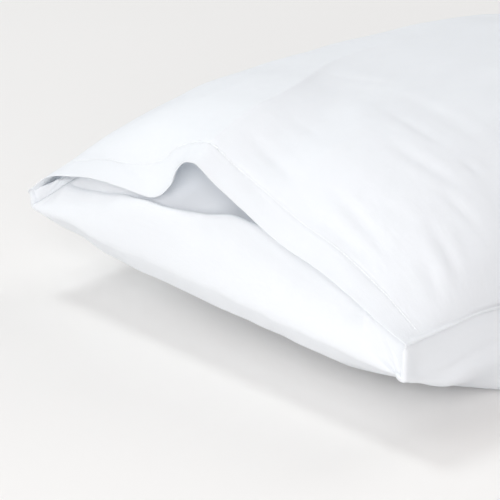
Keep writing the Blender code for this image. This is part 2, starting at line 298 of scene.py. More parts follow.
def body_rise(across, back):
    """Height of the plain filled-out top over the seam."""
    inner = half_width(back) - seam_strip(back)
    part = np.minimum(np.abs(across) / inner, 1.0)
    towards_mouth = np.maximum(1 - back / CROWN_REACH, 0.0) ** MOUTH_ROUND
    lengthwise = HEM_SHARE + (1 - HEM_SHARE) * (1 - towards_mouth)
    to_corner = ease(*CORNER_SOFTENS, across) * (1 - ease(0.0, CROWN_REACH, back))
    square = TOP_SQUARE[0] + (TOP_SQUARE[1] - TOP_SQUARE[0]) * ease(*SEAM_DIPS, back / LENGTH)
    crosswise = (1 - part ** square) ** (TOP_STEEP + CORNER_SOFTER * to_corner)
    return crown(back) * closing(back, TOP_CLOSES, TOP_END_ROUND) * lengthwise * crosswise


def behind_hem(across, back):
    """Distance behind the hem's edge, whose middle is set back; that fades to the closed end."""
    part = np.minimum(np.abs(across) / MOUTH_HALF, 1.0)
    fade = 1 - ease(SET_BACK_FADES, 1.0, back / LENGTH)
    return np.maximum(back - HEM_SET_BACK * (1 - part * part) * fade, 0.0)


def calm_top(across, back):
    """The top without its wave, as a height over the table."""
    inner = half_width(back) - seam_strip(back)
    inside = np.clip(across, -inner, inner)
    behind = behind_hem(inside, back)
    own_line = along_table(HEM_LINE, inside) - body_rise(inside, np.zeros_like(back))
    rise = body_rise(inside, behind) + own_line * (1 - ease(0.0, HEM_REACH, behind))
    return seam_height(back) + SEAM_GAP / 2 + np.maximum(rise, 0.0)


def wave_rise(across, back):
    """What the wave and its ridge add; its steep left side widens quickly behind the hem."""
    behind = behind_hem(across, back)
    from_ridge = across - along_table(RIDGE_LINE, behind)
    spread = np.where(
        from_ridge < 0,
        1 + LEFT_SPREAD * ease(0.0, LEFT_SPREADS, behind),
        1 + RIGHT_SPREAD * ease(0.0, RIGHT_SPREADS, behind),
    )
    to_side = np.minimum(np.abs(across) / (half_width(back) - SEAM_WIDTH), 1.0)
    fade = np.exp(-((behind / WAVE_REACH) ** WAVE_SINKS)) * (1 - to_side ** WAVE_SIDE)
    return np.maximum(along_table(WAVE_SECTION, from_ridge / spread), 0.0) * fade


def outward(places):
    """Unit normals of a grid of places, left of the way its rows and columns turn."""
    along_row = np.gradient(places, axis=1)
    along_column = np.gradient(places, axis=0)
    normal = np.cross(along_row, along_column)
    return normal / np.maximum(np.linalg.norm(normal, axis=2, keepdims=True), 1e-12)


# Creases in the top, left by folding and handling: soft troughs with a low lip on each side, each
# along a curve from one place to another, in distances across and back.
Crease = namedtuple("Crease", "from_x from_y via_x via_y to_x to_y depth width")
TOP_CREASES = (
    Crease(-0.012, 0.060, 0.023, 0.055, 0.057, 0.051, depth=0.0014, width=0.0050),
    Crease(-0.005, 0.034, 0.021, 0.032, 0.049, 0.030, depth=0.0012, width=0.0050),
    Crease(-0.007, 0.048, 0.022, 0.044, 0.056, 0.040, depth=0.0007, width=0.0040),
    Crease(0.078, 0.041, 0.126, 0.038, 0.176, 0.032, depth=0.0013, width=0.0050),
    Crease(0.087, 0.061, 0.125, 0.055, 0.166, 0.046, depth=0.0013, width=0.0042),
    Crease(0.138, 0.027, 0.160, 0.026, 0.181, 0.026, depth=0.0009, width=0.0040),
    Crease(0.055, 0.157, 0.089, 0.153, 0.119, 0.154, depth=0.0008, width=0.0050),
    Crease(0.089, 0.124, 0.131, 0.122, 0.157, 0.131, depth=0.0013, width=0.0055),
    Crease(0.153, 0.115, 0.173, 0.117, 0.191, 0.120, depth=0.0009, width=0.0045),
    Crease(0.168, 0.086, 0.195, 0.082, 0.216, 0.077, depth=0.0015, width=0.0055),
    Crease(0.184, 0.063, 0.204, 0.057, 0.222, 0.053, depth=0.0014, width=0.0055),
    Crease(0.212, 0.066, 0.219, 0.067, 0.226, 0.066, depth=0.0009, width=0.0030),
    Crease(0.206, 0.025, 0.216, 0.028, 0.223, 0.032, depth=0.0008, width=0.0030),
    Crease(0.142, 0.153, 0.148, 0.155, 0.158, 0.157, depth=0.0009, width=0.0040),
    Crease(0.132, 0.075, 0.148, 0.076, 0.165, 0.076, depth=0.0007, width=0.0050),
    Crease(-0.001, 0.098, 0.016, 0.098, 0.039, 0.096, depth=0.0006, width=0.0050),
    Crease(0.035, 0.190, 0.081, 0.189, 0.129, 0.186, depth=0.0006, width=0.0070),
    Crease(-0.038, 0.178, -0.017, 0.193, 0.012, 0.203, depth=0.0006, width=0.0060),
    Crease(-0.191, 0.037, -0.137, 0.030, -0.074, 0.024, depth=0.0006, width=0.0035),
)


CREASE_STEPS = 24           # straight steps in a crease's line
CREASE_END = 0.04           # share of its fading that is left out at each end
CREASE_TAPER = 0.8          # power of that fading
LIP_AWAY = 2.1              # distance of the lips from its line, in widths
LIP_SHARE = 0.30            # their height as a share of its depth


def crease_depth(creases, across, back):
    """How far the creases press the cloth in at these places."""
    pressed = np.zeros_like(across)
    for crease in creases:
        t = np.linspace(0.0, 1.0, CREASE_STEPS + 1)
        line_x = (1 - t) ** 2 * crease.from_x + 2 * t * (1 - t) * crease.via_x + t * t * crease.to_x
        line_y = (1 - t) ** 2 * crease.from_y + 2 * t * (1 - t) * crease.via_y + t * t * crease.to_y
        nearest = np.full_like(across, 1e9)
        way = np.zeros_like(across)
        for x, y, part in zip(line_x, line_y, t):
            off = np.hypot(across - x, back - y)
            closer = off < nearest
            nearest = np.where(closer, off, nearest)
            way = np.where(closer, part, way)
        off = nearest / crease.width
        fade = np.sin(np.pi * (CREASE_END + (1 - 2 * CREASE_END) * way)) ** CREASE_TAPER
        trough = np.exp(-off * off) - LIP_SHARE * np.exp(-((off - LIP_AWAY) ** 2))
        pressed += crease.depth * fade * trough
    return pressed


Slack = namedtuple("Slack", "seed high wave stretch")
TOP_SLACK = Slack(seed=3, high=0.00035, wave=0.060, stretch=1.6)
TOP_RIPPLE = Slack(seed=5, high=0.00012, wave=0.022, stretch=2.2)
SLACK_WAVES = 14
SLACK_SIZES = (0.7, 1.5)    # their lengths as shares of the wave


def slack(kind, across, back):
    """Soft random swells, of a wave length across and a longer one back."""
    draw = np.random.default_rng(kind.seed)
    turns = draw.uniform(0, np.pi, SLACK_WAVES)
    phases = draw.uniform(0, 2 * np.pi, SLACK_WAVES)
    sizes = draw.uniform(*SLACK_SIZES, SLACK_WAVES)
    total = np.zeros_like(across)
    for turn, phase, size in zip(turns, phases, sizes):
        along = across * np.cos(turn) + back * np.sin(turn) / kind.stretch
        total += np.sin(2 * np.pi * along / (kind.wave * size) + phase)
    return kind.high * total / np.sqrt(SLACK_WAVES / 2)


HEM = 0.020                 # width of the turned hem
TUCKED_IN = 0.992           # the turned layer's width as a share of the hem's
HEM_HOLLOW = 0.0008         # between the hem's two layers
HEM_PROUD = 0.0005          # how far its double cloth stands over the single cloth
HEM_STEP = 0.0022           # width of the slope down from it
FREE_FROM = (0.004, 0.030)  # the cloth can move between these distances from the seam
SKIN_FULL = 0.022           # distance from the seam where its face is a full skin out
GROOVE = 0.0006             # depth of the groove that the stitches pull
GROOVE_WIDE = 0.0017
PUCKER = 0.0003             # height of the puckers along it
PUCKER_PITCH = 0.0085
PUCKER_SWAY = (1.5, 90.0)   # how far and how often their pitch sways
RIDGE_PINCH = 0.0038        # how sharply the ridge behind the wave is drawn up
RIDGE_LEFT = 0.003          # its sharp line lies this far left of the ridge's middle
RIDGE_SIDES = (0.015, 0.0048)   # reach of the pinch on its left and right
RIDGE_STARTS = 0.03         # distance behind the hem where it is sharpest
RIDGE_FADES = 0.22          # and over which it fades
RIDGE_HOLLOW = 0.0046       # how far the top sinks between the ridge and the crown
BESIDE_RIDGE = 0.042        # middle of that hollow, from the ridge
BESIDE_WIDE = 0.025
BESIDE_OPENS = (0.020, 0.050)   # it deepens between these distances behind the hem
BESIDE_CLOSES = (0.09, 0.18)    # and ends between these
ROLL_STEPS = 6              # the edge rolled over the seam
ROLL = 0.0014               # its radius

# The grid's sizes, and the places, widths and strengths with which it is finer.
COLUMNS_TOP = 192
ROWS_TOP = 206
ROWS_FOLD = 5
ROWS_UNDER = 11
TOP_FINE_ACROSS = ((0.0, 0.04, 3.0), (1.0, 0.10, 1.8), (0.45, 0.16, 1.6))
TOP_FINE_BACK = ((0.0, 0.10, 3.0), (HEM / LENGTH, 0.005, 16.0), (0.12, 0.16, 2.5), (1.0, 0.04, 2.0))

part = np.tile(2 * shares(COLUMNS_TOP, TOP_FINE_ACROSS) - 1, (ROWS_TOP + 1, 1))
set_back = HEM_SET_BACK * (1 - part * part)
back = set_back + (LENGTH - set_back) * shares(ROWS_TOP, TOP_FINE_BACK)[:, None]
across = half_width(back) * part
height = calm_top(across, back) + wave_rise(across, back)
form = np.stack([across, back - end_shift(across, back) - LENGTH / 2, height], axis=2)
face = outward(form)
behind = behind_hem(across, back)
to_edge = np.minimum(half_width(back) - np.abs(across), LENGTH - back)
free = ease(*FREE_FROM, to_edge)
lift = SEAM_SKIN + (SKIN - SEAM_SKIN) * ease(0.0, SKIN_FULL, to_edge)
lift -= crease_depth(TOP_CREASES, across, back) * free
lift += (slack(TOP_SLACK, across, back) + slack(TOP_RIPPLE, across, back)) * free
lift += HEM_PROUD * (1 - ease(HEM, HEM + HEM_STEP, behind)) * free
pull = np.exp(-((behind - HEM) / GROOVE_WIDE) ** 2)
sway = PUCKER_SWAY[0] * np.sin(across * PUCKER_SWAY[1])
pucker = np.sin(2 * np.pi * across / PUCKER_PITCH + sway)
lift += (PUCKER * pucker - GROOVE) * pull * free
from_ridge = across - along_table(RIDGE_LINE, behind)
to_line = from_ridge + RIDGE_LEFT
pinch = np.exp(-np.abs(to_line) / np.where(to_line < 0, *RIDGE_SIDES))
pinch *= np.exp(-((behind / RIDGE_FADES) ** 2)) * ease(0.0, RIDGE_STARTS, behind)
hollow = np.exp(-(((from_ridge - BESIDE_RIDGE) / BESIDE_WIDE) ** 2))
hollow *= ease(*BESIDE_OPENS, behind) * (1 - ease(*BESIDE_CLOSES, behind))
lift += RIDGE_PINCH * pinch * free - RIDGE_HOLLOW * hollow
top_face = form + face * lift[:, :, None]

# The hem's turned layer under it, from its raw edge to the fold at the mouth.
edge = top_face[0]
forward = top_face[0] - top_face[1]
forward /= np.linalg.norm(forward, axis=1, keepdims=True)
inwards = -face[0]
inner_face = top_face - face * HEM_HOLLOW
turned = []
for step in range(ROWS_UNDER, 0, -1):
    at = HEM * step / ROWS_UNDER
    row = np.array([
        [np.interp(at, behind[:, column], inner_face[:, column, axis]) for axis in range(3)]
        for column in range(COLUMNS_TOP + 1)
    ])
    row[:, 0] *= TUCKED_IN
    turned.append(row)
for step in range(ROWS_FOLD, 0, -1):
    angle = np.pi * step / ROWS_FOLD
    round_fold = forward * np.sin(angle) - inwards * np.cos(angle)
    turned.append(edge + (inwards + round_fold) * HEM_HOLLOW / 2)
top = np.concatenate([np.array(turned), top_face])


def rolled(line, away, up):
    """Lines that carry a cloth's edge round and under, out along away and down from up."""
    return [
        line + away * np.sin(angle) * ROLL + up * (np.cos(angle) - 1) * ROLL
        for angle in np.pi * np.arange(1, ROLL_STEPS + 1) / ROLL_STEPS
    ]


RIGHT, BEHIND, UP = np.eye(3)
top = np.concatenate([top, np.array(rolled(top[-1], BEHIND, UP))])
left_roll, right_roll = [
    np.array(rolled(top[:, side], away, UP)).transpose(1, 0, 2)
    for side, away in ((0, -RIGHT), (-1, RIGHT))
]
top = np.concatenate([left_roll[:, ::-1], top, right_roll], axis=1)


def cloth_piece(name, places, thickness, material):
    """A grid of cloth laid onto its places, faces outwards, and thickened inwards."""
    count = places.shape
    cloth = bmesh.new()
    cloth.loops.layers.uv.new("cloth")
    bmesh.ops.create_grid(cloth, x_segments=count[1] - 1, y_segments=count[0] - 1, size=1.0, calc_uvs=True)
    for vertex in cloth.verts:
        column = round((vertex.co.x + 1) / 2 * (count[1] - 1))
        row = round((vertex.co.y + 1) / 2 * (count[0] - 1))
        vertex.co = places[row, column]
    mesh = bpy.data.meshes.new(name)
    cloth.to_mesh(mesh)
    cloth.free()
    mesh.shade_smooth()
    mesh.materials.append(material)
    piece = bpy.data.objects.new(name, mesh)
    scene.collection.objects.link(piece)
    thick = piece.modifiers.new("thickness", "SOLIDIFY")
    thick.thickness = thickness
    thick.offset = -1.0
    return piece


THREAD_PAIR = 0.0005        # two threads of the weave, side by side
SLUBS = (900.0, 60.0, 1.0)  # slubs to a metre across the threads and along them


def weave_group():
    """Plain weave of two sets of threads, with slubs, as a height and a faint shade."""
    group = bpy.data.node_groups.new("plain_weave", "ShaderNodeTree")
    group.interface.new_socket("Cloth", in_out="INPUT", socket_type="NodeSocketVector")
    group.interface.new_socket("Height", in_out="OUTPUT", socket_type="NodeSocketFloat")
    group.interface.new_socket("Shade", in_out="OUTPUT", socket_type="NodeSocketFloat")
    nodes, links = group.nodes, group.links
    start, end = nodes.new("NodeGroupInput"), nodes.new("NodeGroupOutput")

    def maths(operation, a, b):
        node = nodes.new("ShaderNodeMath")
        node.operation = operation
        for socket, value in zip(node.inputs, (a, b)):
            if isinstance(value, (int, float)):
                socket.default_value = value
            else:
                links.new(value, socket)
        return node.outputs[0]

    split = nodes.new("ShaderNodeSeparateXYZ")
    links.new(start.outputs["Cloth"], split.inputs[0])
    warp = maths("SINE", maths("MULTIPLY", split.outputs["X"], 2 * np.pi / THREAD_PAIR), 0.0)
    weft = maths("SINE", maths("MULTIPLY", split.outputs["Y"], 2 * np.pi / THREAD_PAIR), 0.0)
    threads = maths("MULTIPLY", warp, weft)
    slub_map = nodes.new("ShaderNodeMapping")
    slub_map.inputs["Scale"].default_value = SLUBS
    slub = nodes.new("ShaderNodeTexNoise")
    slub.inputs["Scale"].default_value = 1.0
    slub.inputs["Detail"].default_value = 3.0
    links.new(start.outputs["Cloth"], slub_map.inputs["Vector"])
    links.new(slub_map.outputs[0], slub.inputs["Vector"])
    both = maths("ADD", maths("MULTIPLY", threads, 0.5), slub.outputs["Fac"])
    links.new(both, end.inputs["Height"])
    links.new(slub.outputs["Fac"], end.inputs["Shade"])
    return group


plain_weave = weave_group()
LET_THROUGH = 0.25          # the share of its light that thin cotton lets through
PALE = (0.932, 0.948, 0.965)
DEEP = (0.915, 0.933, 0.952)    # its slubs


def cotton(name, flat):
    """White cotton whose threads follow the cloth; flat is its size as cut, in metres."""
    material = bpy.data.materials.new(name)
    material.use_nodes = True
    nodes, links = material.node_tree.nodes, material.node_tree.links
    surface = nodes["Principled BSDF"]
    surface.inputs["Specular IOR Level"].default_value = 0.25
    surface.inputs["Sheen Weight"].default_value = 0.08
    surface.inputs["Sheen Roughness"].default_value = 0.6
    own = nodes.new("ShaderNodeUVMap")
    own.uv_map = "cloth"
    to_size = nodes.new("ShaderNodeMapping")
    to_size.inputs["Scale"].default_value = (flat[0], flat[1], 1.0)
    links.new(own.outputs["UV"], to_size.inputs["Vector"])
    weave = nodes.new("ShaderNodeGroup")
    weave.node_tree = plain_weave
    links.new(to_size.outputs["Vector"], weave.inputs["Cloth"])
    crumple = nodes.new("ShaderNodeTexNoise")
    crumple.inputs["Scale"].default_value = 60.0
    crumple.inputs["Detail"].default_value = 4.0
    links.new(to_size.outputs["Vector"], crumple.inputs["Vector"])
    tone = nodes.new("ShaderNodeMix")
    tone.data_type = "RGBA"
    tone.inputs["A"].default_value = (*DEEP, 1.0)
    tone.inputs["B"].default_value = (*PALE, 1.0)
    links.new(weave.outputs["Shade"], tone.inputs["Factor"])
    links.new(tone.outputs["Result"], surface.inputs["Base Color"])
    rough = nodes.new("ShaderNodeMapRange")
    rough.inputs["To Min"].default_value = 0.82
    rough.inputs["To Max"].default_value = 0.96
    links.new(crumple.outputs["Fac"], rough.inputs["Value"])
    links.new(rough.outputs["Result"], surface.inputs["Roughness"])
    fine = nodes.new("ShaderNodeBump")
    fine.inputs["Strength"].default_value = 0.25
    fine.inputs["Distance"].default_value = 0.0001
    links.new(weave.outputs["Height"], fine.inputs["Height"])
    soft = nodes.new("ShaderNodeBump")
    soft.inputs["Strength"].default_value = 0.35
    soft.inputs["Distance"].default_value = 0.0008
    links.new(crumple.outputs["Fac"], soft.inputs["Height"])
    links.new(fine.outputs["Normal"], soft.inputs["Normal"])
    links.new(soft.outputs["Normal"], surface.inputs["Normal"])
    through = nodes.new("ShaderNodeBsdfTranslucent")
    links.new(tone.outputs["Result"], through.inputs["Color"])
    links.new(soft.outputs["Normal"], through.inputs["Normal"])
    both = nodes.new("ShaderNodeMixShader")
    both.inputs["Fac"].default_value = LET_THROUGH
    links.new(surface.outputs["BSDF"], both.inputs[1])
    links.new(through.outputs["BSDF"], both.inputs[2])
    links.new(both.outputs["Shader"], nodes["Material Output"].inputs["Surface"])
    return material


TOP_FLAT = (0.50, 0.84)
top_piece = cloth_piece("top_cloth", top, CLOTH, cotton("top_cotton", TOP_FLAT))
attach(top_piece, "root")
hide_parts("top_panel")

# ---- hem stitches ----
# One row of lockstitch in white thread holds the turned hem. Each stitch lies in the groove
# that it pulls into the cloth.

STITCH_PITCH = 0.0032
STITCH_LONG = 0.0024
STITCH_WIDE = 0.0008
STITCH_HIGH = 0.0006
STITCH_OUT = 0.45           # how far its middle stands out, as a share of its height
STITCHED_HALF = 0.222       # the row stops short of both seams
THREAD_TONES = (0.93, 0.94, 0.95, 1.0), (0.97, 0.98, 0.99, 1.0)


def along_hem(values):
    """A grid's values where the row of stitches crosses its columns."""
    return np.array([
        [np.interp(HEM, behind[:, column], values[:, column, axis]) for axis in range(3)]
        for column in range(COLUMNS_TOP + 1)
        if abs(across[0, column]) < STITCHED_HALF
    ])


stitch_line, line_out = along_hem(top_face), along_hem(face)
steps = np.linalg.norm(np.diff(stitch_line, axis=0), axis=1)
way = np.concatenate(([0.0], np.cumsum(steps)))
stitches = bmesh.new()
for at in np.arange(STITCH_PITCH, way[-1], STITCH_PITCH):
    middle, ahead, out = [
        np.array([np.interp(spot, way, values[:, axis]) for axis in range(3)])
        for spot, values in ((at, stitch_line), (at + STITCH_PITCH / 2, stitch_line), (at, line_out))
    ]
    along = (ahead - middle) / np.linalg.norm(ahead - middle)
    out = out - along * np.dot(out, along)
    out /= np.linalg.norm(out)
    turn = Matrix(np.column_stack([along, np.cross(out, along), out]).tolist()).to_4x4()
    size = Matrix.Diagonal((STITCH_LONG / 2, STITCH_WIDE / 2, STITCH_HIGH / 2, 1.0))
    placed = Matrix.Translation(middle + out * STITCH_HIGH * STITCH_OUT) @ turn @ size
    bmesh.ops.create_uvsphere(stitches, u_segments=8, v_segments=5, radius=1.0, matrix=placed)
stitch_mesh = bpy.data.meshes.new("hem_stitches")
stitches.to_mesh(stitch_mesh)
stitches.free()
stitch_mesh.shade_smooth()
stitch_piece = bpy.data.objects.new("hem_stitches", stitch_mesh)
scene.collection.objects.link(stitch_piece)

thread = bpy.data.materials.new("white_thread")
thread.use_nodes = True
nodes, links = thread.node_tree.nodes, thread.node_tree.links
surface = nodes["Principled BSDF"]
surface.inputs["Roughness"].default_value = 0.6
place = nodes.new("ShaderNodeTexCoord")
ply = nodes.new("ShaderNodeTexWave")
ply.inputs["Scale"].default_value = 900.0
tone = nodes.new("ShaderNodeMix")
tone.data_type = "RGBA"
tone.inputs["A"].default_value, tone.inputs["B"].default_value = THREAD_TONES
links.new(place.outputs["Object"], ply.inputs["Vector"])
links.new(ply.outputs["Fac"], tone.inputs["Factor"])
links.new(tone.outputs["Result"], surface.inputs["Base Color"])
stitch_mesh.materials.append(thread)
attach(stitch_piece, "root")

# ---- bottom panel ----
# One piece of the same cotton, 50 by 100 cm as cut. It hangs in a belly that rests on the table,
# folds in at the mouth, and runs back under the top as the flap that keeps the filling in.

BAND_REACH = 0.011          # the cloth curls into a pressed band this far behind the fold
BAND_SHARE = 0.158          # share of the belly's descent that the band makes
BAND_ROUND = 1.4            # power of its curl
BAND_LESS = 0.5             # how much less of it there is where the belly is straight
BELLY_REACH = 0.150         # the belly comes down to the table within this distance,
BELLY_SLANT = 0.020         # sooner by this much at the right side, later at the left
BELLY_ROUND = 1.35          # power of that descent,
CORNER_ROUND = 0.82         # and the same where it is straight
STRAIGHT_FROM = 0.5         # share of the right half from where the belly gets straight
STRAIGHT_REACH = 0.017      # and comes down this much later
PRESSED_FLAT = 0.012        # how much the table flattens the belly
SIDE_BULGE = 0.009          # the sides swell past the seam by this much
SURFACE_BEND = 0.012        # the belly bends onto the table over this height
BOTTOM_CLOSES = 0.55        # share of the length where it starts up to the closed end
BOTTOM_END_ROUND = (3.0, 0.7)   # powers of that curve, inner and outer
WALL_SQUARE = (10.0, 24.0, 5.0)   # of the steep side wall at the mouth's left and right, and behind
WALL_REACH = 0.12           # distance over which they become the last
WALL_BULGE = 0.0026         # how far the belly swells out below the right wall
WALL_BULGES = (0.008, 0.060)    # between these distances behind the mouth,
WALL_SMOOTHS = (0.05, 0.30)     # and less and less between these
BULGE_FROM = (0.205, 0.222)     # between these distances across
BULGE_TOP = (-0.001, 0.008)     # it swells between these heights below the wall's crease
BULGE_FOOT = (0.010, 0.027)     # and ends between these
LIP_OVER = 0.003            # height of the low groove over that crease, and half its width
LIP_DEEP = 0.3              # its depth as a share of the bulge
FLAP_LENGTH = 0.17          # from the fold to the flap's inner edge
FLAP_SIDE = 0.014           # each side edge of the flap stays this far from the seam's edge
FLAP_UNDER = 0.0045         # distance from the top to the flap, once behind the mouth,
FLAP_SETTLES = (0.03, 0.06)     # reached between these distances
FLAP_ROUND = (1.8, 0.72)    # powers of the flap's rise from the fold, inner and outer
HOLLOW_DEPTH = 0.026        # dip of the flap under the ridge
HOLLOW_ACROSS = -0.005      # middle of that dip
HOLLOW_WIDTH = 0.055
HOLLOW_OPENS = 0.012        # it deepens over this distance behind the flap's crest
HOLLOW_CLOSES = (0.075, 0.15)   # and ends between these distances behind the mouth
TROUGH_BACK = 0.006         # from the flap's crest to the trough behind it
TROUGH_WIDE = 0.0035
UPRIGHT_FROM = (0.205, 0.220)   # the mouth's ends stand upright between these distances across
UPRIGHT_TOP = (0.001, 0.006)    # and these heights over the fold's corners
SEWN_DOWN = 0.008           # the seam holds their top end over this height
UPRIGHT_BACK = 0.02         # and they have opened this far behind the mouth,
UPRIGHT_HELD = (0.003, 0.014)   # or, inside, between these distances
EDGE_FOLD = 0.0018          # half the thickness of air inside the mouth's upright folds
PRESSED_EDGE = 0.0007       # how far the fold's pressed edge stands out
PRESSED_PLACE = 0.0008      # its middle, above the fold
PRESSED_WIDE = 0.0013
NEAR_SEAM = 0.012           # the skin thins within this distance of the seam
CORNER_RECESS = 0.008       # how far the flap lies back at the right corner
RECESS_ACROSS = (0.202, 0.216)
RECESS_UP = (0.074, 0.082)
CORNER_POCKET = 0.010       # and at the left one, outside a line that leans inwards as it rises
POCKET_ACROSS = -0.2245
POCKET_LEAN = 1.25
POCKET_LOW = 0.0735
POCKET_UP = (0.0725, 0.0755)
POCKET_SOFT = 0.004
POCKET_GROWS = 0.003        # distance behind the fold over which both set in
FLAP_LOOSE = (0.002, 0.010)     # the flap's slack starts between these distances behind the fold
FLAP_TIGHT = (0.04, 0.08)       # and ends between these
BELLY_LOOSE = (0.006, 0.03)     # the belly's starts between these heights
BOTTOM_SLACK = Slack(seed=12, high=0.0004, wave=0.055, stretch=1.5)
FLAP_SLACK = Slack(seed=11, high=0.0005, wave=0.040, stretch=2.5)
EASINGS = 120               # rounds that smooth the flap's right corner,
EASED_BACK = (0.0005, 0.004)    # from between these distances behind the fold
EASED_ACROSS = (0.180, 0.200)   # and across

# Depth of the mouth's fold under the seam's ends, from the left corner to the right one.
FoldRow = namedtuple("FoldRow", "across depth")
FOLD_LINE = (
    FoldRow(across=-0.230, depth=0.0185),
    FoldRow(across=-0.214, depth=0.0160),
    FoldRow(across=-0.186, depth=0.0140),
    FoldRow(across=-0.165, depth=0.0147),
    FoldRow(across=-0.140, depth=0.0186),
    FoldRow(across=-0.085, depth=0.0182),
    FoldRow(across=-0.050, depth=0.0175),
    FoldRow(across=0.000, depth=0.0200),
    FoldRow(across=0.046, depth=0.0226),
    FoldRow(across=0.094, depth=0.0240),
    FoldRow(across=0.184, depth=0.0260),
    FoldRow(across=0.216, depth=0.0270),
    FoldRow(across=0.226, depth=0.0312),
    FoldRow(across=0.230, depth=0.0342),
)

# The crease between the right wall and the belly.
CreaseRow = namedtuple("CreaseRow", "back height")
WALL_CREASE = (
    CreaseRow(back=0.000, height=0.0500),
    CreaseRow(back=0.035, height=0.0503),
    CreaseRow(back=0.050, height=0.0500),
    CreaseRow(back=0.070, height=0.0540),
    CreaseRow(back=0.110, height=0.0560),
    CreaseRow(back=0.750, height=0.0560),
)

# Squareness of the belly under the wall, on the left half and on the right one.
SquareRow = namedtuple("SquareRow", "back left right")
BELLY_SQUARE = (
    SquareRow(back=0.00, left=2.0, right=2.5),
    SquareRow(back=0.04, left=2.2, right=7.5),
    SquareRow(back=0.12, left=4.2, right=9.0),
    SquareRow(back=0.18, left=5.0, right=8.0),
    SquareRow(back=0.30, left=5.0, right=5.0),
    SquareRow(back=0.80, left=5.0, right=5.0),
)

# How the flap lies in the open mouth: the distance over which it rises to the hem, how far
# under the top it then lies, and the trough behind its crest, with the crest's distance back.
FlapRow = namedtuple("FlapRow", "across turn under trough crest")
FLAP_FORM = (
    FlapRow(across=-0.230, turn=0.014, under=0.0045, trough=0.000, crest=0.010),
    FlapRow(across=-0.207, turn=0.028, under=0.0045, trough=0.003, crest=0.010),
    FlapRow(across=-0.180, turn=0.032, under=0.0045, trough=0.006, crest=0.010),
    FlapRow(across=-0.159, turn=0.026, under=0.0045, trough=0.007, crest=0.010),
    FlapRow(across=-0.131, turn=0.017, under=0.0042, trough=0.008, crest=0.010),
    FlapRow(across=-0.105, turn=0.012, under=0.0032, trough=0.008, crest=0.010),
    FlapRow(across=-0.079, turn=0.011, under=0.0022, trough=0.008, crest=0.010),
    FlapRow(across=-0.050, turn=0.013, under=0.0022, trough=0.007, crest=0.011),
    FlapRow(across=-0.020, turn=0.020, under=0.0022, trough=0.005, crest=0.016),
    FlapRow(across=0.010, turn=0.026, under=0.0030, trough=0.003, crest=0.021),
    FlapRow(across=0.050, turn=0.036, under=0.0045, trough=0.000, crest=0.024),
    FlapRow(across=0.100, turn=0.040, under=0.0045, trough=0.000, crest=0.024),
    FlapRow(across=0.160, turn=0.035, under=0.0045, trough=0.000, crest=0.022),
    FlapRow(across=0.190, turn=0.026, under=0.0045, trough=0.000, crest=0.016),
    FlapRow(across=0.210, turn=0.017, under=0.0062, trough=0.000, crest=0.010),
    FlapRow(across=0.230, turn=0.012, under=0.0075, trough=0.000, crest=0.008),
)


SECTION_STEPS = 300         # fine steps of a section before it is shared out
SLOPE_STEP = 0.001          # step over which a slope is measured


def on_table(height):
    """A height kept one cloth above the table with a soft bend."""
    over = height - SKIN
    bent = SKIN + (over + SURFACE_BEND) ** 2 / (4 * SURFACE_BEND)
    return np.where(over < -SURFACE_BEND, SKIN, np.where(over > SURFACE_BEND, height, bent))


def share_out(line, at):
    """Places at shares of the way along a line of places."""
    steps = np.linalg.norm(np.diff(line, axis=0), axis=1)
    way = np.concatenate(([0.0], np.cumsum(steps)))
    return np.stack([np.interp(at * way[-1], way, values) for values in line.T], axis=1)


def belly_section(side, back):
    """Half a section of the bottom, from the middle out to one seam.

    A steep wall runs down from the seam to the fold's depth, and a rounder belly hangs below it.
    """
    at_mouth = WALL_SQUARE[0] if side < 0 else WALL_SQUARE[1]
    wall_power = at_mouth + (WALL_SQUARE[2] - at_mouth) * ease(0.0, WALL_REACH, back)
    belly_power = along_table(BELLY_SQUARE, back, 1 if side < 0 else 2)
    closed_end = closing(back, BOTTOM_CLOSES, BOTTOM_END_ROUND)
    inner = half_width(back) - seam_strip(back)
    edge = seam_height(back) - SEAM_GAP / 2
    out = np.sin(np.linspace(0.0, np.pi / 2, SECTION_STEPS + 1)) ** (2 / wall_power)
    wall = np.maximum(1 - out ** wall_power, 0.0) ** (1 / wall_power)
    belly = np.maximum(1 - out ** belly_power, 0.0) ** (1 / belly_power)
    shallow = along_table(FOLD_LINE, side * out * MOUTH_HALF)
    straight = ease(STRAIGHT_FROM, 1.0, side * out)
    band = 1 - max(1 - back / BAND_REACH, 0.0) ** BAND_ROUND
    reach = BELLY_REACH - BELLY_SLANT * side * out + STRAIGHT_REACH * straight
    power = BELLY_ROUND + (CORNER_ROUND - BELLY_ROUND) * straight
    band_share = BAND_SHARE * (1 - BAND_LESS * straight)
    down = band_share * band + (1 - band_share) * (1 - np.maximum(1 - back / reach, 0.0) ** power)
    depth = shallow * wall + (SEAM_HEIGHT + PRESSED_FLAT - shallow) * down * belly
    swell = SIDE_BULGE * down * 4 * belly * (1 - belly)
    x, height = side * (inner * out + swell * closed_end), on_table(edge - depth * closed_end)
    return np.concatenate([np.stack([x, height], axis=1), [[side * half_width(back), edge]]])


